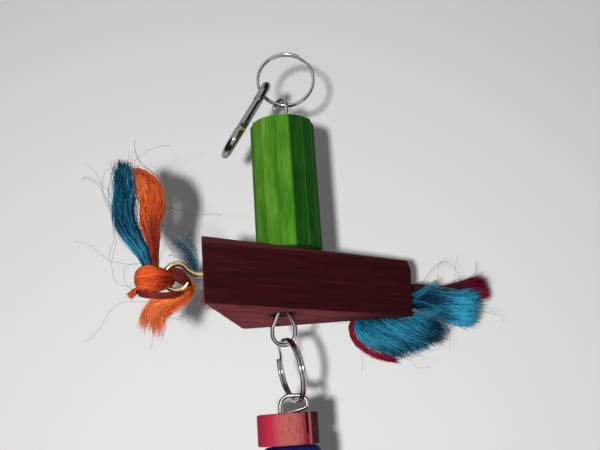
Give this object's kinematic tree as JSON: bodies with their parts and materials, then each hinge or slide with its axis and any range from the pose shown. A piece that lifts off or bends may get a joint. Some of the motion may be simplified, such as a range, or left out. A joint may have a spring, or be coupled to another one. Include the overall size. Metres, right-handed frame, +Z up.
{
  "type": "hanging bird toy",
  "caption": "Hanging bird toy: split ring with snap clip, fluted wooden dowel, triangular block with rope tassels, ring link and wooden disc on a lower wire.",
  "frame": {"origin": "inner top of the upper split ring, where the toy hangs from a hook or bar", "axes": "+X to the right across the upper ring's face, +Y to the back, +Z up along the hanging toy"},
  "size_m": [0.152, 0.085, 0.2033],
  "materials": {
    "ring_steel": "nickel plated",
    "clip_steel": "nickel plated",
    "link_steel": "nickel plated",
    "eye_brass": "polished",
    "green_wood": "stained",
    "maroon_wood": "stained",
    "pink_wood": "stained",
    "blue_wood": "stained",
    "rope_orange": "dyed fibre",
    "rope_blue": "dyed fibre",
    "rope_crimson": "dyed fibre"
  },
  "bodies": {
    "hanger": {"top_split_ring": "ring_steel"},
    "clip": {"clip_body": "clip_steel", "clip_pin": "clip_steel"},
    "gate": {"clip_gate": "clip_steel"},
    "upper_string": {"upper_link": "link_steel"},
    "dowel": {"green_dowel": "green_wood"},
    "block": {"maroon_block": "maroon_wood", "left_screw_eye": "eye_brass", "right_screw_eye": "eye_brass", "left_knot": "rope_orange", "left_blue_bunch": "rope_blue", "left_orange_bunch": "rope_orange", "left_tail": "rope_orange", "left_tuft": "rope_blue", "right_knot": "rope_blue", "right_upper_bunch": "rope_blue", "right_lower_bunch": "rope_blue", "right_crimson_low": "rope_crimson", "right_crimson_high": "rope_crimson"},
    "middle_ring": {"middle_split_ring": "ring_steel"},
    "lower_string": {"lower_link": "link_steel"},
    "disc": {"pink_disc": "pink_wood"},
    "barrel": {"blue_barrel": "blue_wood"}
  },
  "joints": [
    {"name": "clip_swing", "type": "hinge", "parent": "hanger", "child": "clip", "pos_m": [-0.00827, 0, -0.01431], "axis": [0, 1, 0], "range_deg": [0, 70]},
    {"name": "gate_open", "type": "hinge", "parent": "clip", "child": "gate", "pos_m": [-0.01865, -0.00713, -0.03558], "axis": [-0.8438, -0.225, 0.4872], "range_deg": [0, 25], "stiffness_Nm_per_rad": 0.002, "springref_deg": -20.05},
    {"name": "upper_swing", "type": "hinge", "parent": "hanger", "child": "upper_string", "pos_m": [-0.0027, 0, -0.02289], "axis": [1, 0, 0], "range_deg": [-18, 18]},
    {"name": "dowel_spin", "type": "hinge", "parent": "upper_string", "child": "dowel", "pos_m": [0.0003, 0, -0.08683], "axis": [-0.0419, 0, 0.9991], "continuous": true},
    {"name": "block_spin", "type": "hinge", "parent": "upper_string", "child": "block", "pos_m": [-0.003, 0, -0.11159], "axis": [-0.0279, 0, 0.9996], "continuous": true},
    {"name": "middle_ring_swing", "type": "hinge", "parent": "upper_string", "child": "middle_ring", "pos_m": [-0.0027, 0, -0.12399], "axis": [0.9848, -0.1736, 0], "range_deg": [-30, 30]},
    {"name": "lower_swing", "type": "hinge", "parent": "middle_ring", "child": "lower_string", "pos_m": [0.00249, 0, -0.14522], "axis": [0.3338, -0.9397, 0.0746], "range_deg": [-25, 25]},
    {"name": "disc_spin", "type": "hinge", "parent": "lower_string", "child": "disc", "pos_m": [-0.00147, 0, -0.16138], "axis": [-0.0419, 0, 0.9991], "continuous": true},
    {"name": "barrel_spin", "type": "hinge", "parent": "lower_string", "child": "barrel", "pos_m": [0.0007, 0, -0.19161], "axis": [-0.0419, 0, 0.9991], "continuous": true}
  ]
}
